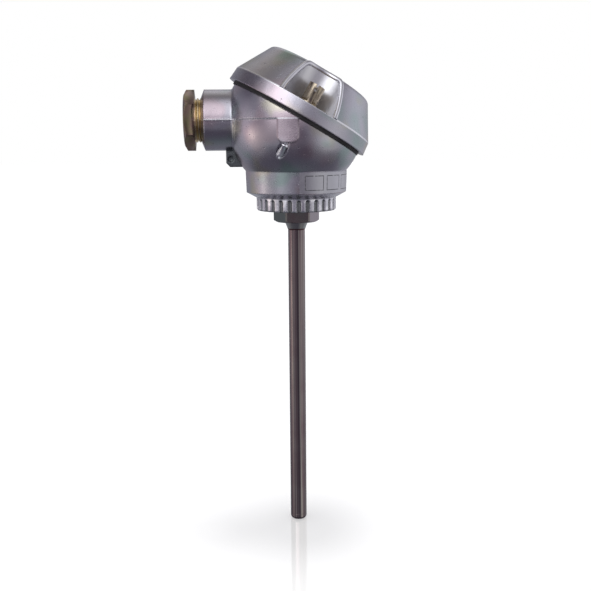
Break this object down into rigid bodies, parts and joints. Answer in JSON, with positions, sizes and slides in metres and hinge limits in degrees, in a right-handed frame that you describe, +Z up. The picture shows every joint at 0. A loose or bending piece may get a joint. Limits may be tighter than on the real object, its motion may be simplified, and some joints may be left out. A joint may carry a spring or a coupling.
{
  "type": "resistance thermometer with connection head",
  "caption": "Resistance thermometer with a cast connection head, sloping screwed lid, side cable gland and a straight steel stem.",
  "frame": {"origin": "on the probe's axis, where the bare stem begins under the weld below the fitting's hexagon", "axes": "+Z up along the probe, -Z down the stem, -X towards the cable entry, the lid slopes down towards +X, the lid screws are at +Y and -Y"},
  "size_m": [0.0842, 0.0702, 0.229],
  "materials": {
    "cast_aluminium": "satin",
    "gasket_rubber": "matte",
    "plated_steel": "polished",
    "gland_brass": "satin",
    "label_foil": "satin",
    "stem_steel": "satin",
    "insert_steel": "satin",
    "screw_steel": "polished",
    "mineral_fill": "matte",
    "element_ceramic": "matte",
    "block_ceramic": "matte",
    "potting_resin": "matte",
    "terminal_brass": "polished",
    "lead_white": "matte",
    "lead_red": "matte"
  },
  "bodies": {
    "head": {"housing": "cast_aluminium", "type_label": "label_foil", "fitting": "stem_steel", "stem_tube": "stem_steel", "stem_tip": "stem_steel", "cable_seal": "gasket_rubber", "insert_screw_front": "screw_steel", "insert_screw_back": "screw_steel", "insert_spring_front": "screw_steel", "insert_spring_back": "screw_steel"},
    "lid": {"lid": "cast_aluminium", "lid_gasket": "gasket_rubber"},
    "lid_washer_front": {"lid_washer_front": "plated_steel"},
    "lid_washer_back": {"lid_washer_back": "plated_steel"},
    "lid_screw_front": {"lid_screw_front": "plated_steel"},
    "lid_screw_back": {"lid_screw_back": "plated_steel"},
    "slip_ring": {"slip_ring": "gland_brass"},
    "pressure_screw": {"pressure_screw": "gland_brass"},
    "insert": {"insert_flange": "insert_steel", "insert_sheath": "insert_steel", "insert_core": "mineral_fill", "rtd_element": "element_ceramic", "insert_potting": "potting_resin", "terminal_block": "block_ceramic", "terminal_1": "terminal_brass", "terminal_2": "terminal_brass", "terminal_3": "terminal_brass", "terminal_4": "terminal_brass", "lead_1": "lead_red", "lead_2": "lead_red", "lead_3": "lead_white", "lead_4": "lead_white"},
    "ground_screw": {"ground_screw": "terminal_brass", "ground_washer": "terminal_brass"},
    "terminal_screw_1": {"terminal_screw_1": "terminal_brass"},
    "terminal_screw_2": {"terminal_screw_2": "terminal_brass"},
    "terminal_screw_3": {"terminal_screw_3": "terminal_brass"},
    "terminal_screw_4": {"terminal_screw_4": "terminal_brass"},
    "terminal_screw_5": {"terminal_screw_5": "terminal_brass"},
    "terminal_screw_6": {"terminal_screw_6": "terminal_brass"},
    "terminal_screw_7": {"terminal_screw_7": "terminal_brass"},
    "terminal_screw_8": {"terminal_screw_8": "terminal_brass"}
  },
  "joints": [
    {"name": "lid_lift", "type": "slide", "parent": "head", "child": "lid", "axis": [0.5, 0, 0.866], "range_m": [0, 0.06]},
    {"name": "lid_screw_front_rise", "type": "slide", "parent": "lid", "child": "lid_washer_front", "axis": [0.5, 0, 0.866], "range_m": [0, 0.0195]},
    {"name": "lid_screw_front_turn", "type": "hinge", "parent": "lid_washer_front", "child": "lid_screw_front", "pos_m": [0, -0.028, 0.05063], "axis": [0.5, 0, 0.866], "range_deg": [0, 10028.6]},
    {"name": "lid_screw_back_rise", "type": "slide", "parent": "lid", "child": "lid_washer_back", "axis": [0.5, 0, 0.866], "range_m": [0, 0.0195]},
    {"name": "lid_screw_back_turn", "type": "hinge", "parent": "lid_washer_back", "child": "lid_screw_back", "pos_m": [0, 0.028, 0.05063], "axis": [0.5, 0, 0.866], "range_deg": [0, 10028.6]},
    {"name": "gland_slide", "type": "slide", "parent": "head", "child": "slip_ring", "axis": [-1, 0, 0], "range_m": [-0.0026, 0.008]},
    {"name": "gland_turn", "type": "hinge", "parent": "slip_ring", "child": "pressure_screw", "pos_m": [-0.046, 0, 0.05063], "axis": [-1, 0, 0], "range_deg": [-620, 1900]},
    {"name": "insert_slide", "type": "slide", "parent": "head", "child": "insert", "axis": [0, 0, 1], "range_m": [0, 0.005], "stiffness_N_per_m": 800, "springref_m": -0.004, "deforming": ["insert_spring_front", "insert_spring_back"]},
    {"name": "ground_screw_slide", "type": "slide", "parent": "head", "child": "ground_screw", "axis": [0, 0, 1], "range_m": [0, 0.004]},
    {"name": "terminal_screw_1_slide", "type": "slide", "parent": "insert", "child": "terminal_screw_1", "axis": [0, 0, 1], "range_m": [0, 0.0025]},
    {"name": "terminal_screw_2_slide", "type": "slide", "parent": "insert", "child": "terminal_screw_2", "axis": [0, 0, 1], "range_m": [0, 0.0025]},
    {"name": "terminal_screw_3_slide", "type": "slide", "parent": "insert", "child": "terminal_screw_3", "axis": [0, 0, 1], "range_m": [0, 0.0025]},
    {"name": "terminal_screw_4_slide", "type": "slide", "parent": "insert", "child": "terminal_screw_4", "axis": [0, 0, 1], "range_m": [0, 0.0025]},
    {"name": "terminal_screw_5_slide", "type": "slide", "parent": "insert", "child": "terminal_screw_5", "axis": [0, 0, 1], "range_m": [0, 0.0025]},
    {"name": "terminal_screw_6_slide", "type": "slide", "parent": "insert", "child": "terminal_screw_6", "axis": [0, 0, 1], "range_m": [0, 0.0025]},
    {"name": "terminal_screw_7_slide", "type": "slide", "parent": "insert", "child": "terminal_screw_7", "axis": [0, 0, 1], "range_m": [0, 0.0025]},
    {"name": "terminal_screw_8_slide", "type": "slide", "parent": "insert", "child": "terminal_screw_8", "axis": [0, 0, 1], "range_m": [0, 0.0025]}
  ],
  "couplings": [
    {"joint": "lid_screw_front_turn", "follows": "lid_screw_front_rise", "rad_per_m": 8976},
    {"joint": "lid_screw_back_turn", "follows": "lid_screw_back_rise", "rad_per_m": 8976},
    {"joint": "gland_slide", "follows": "gland_turn", "m_per_rad": 0.00023873}
  ]
}
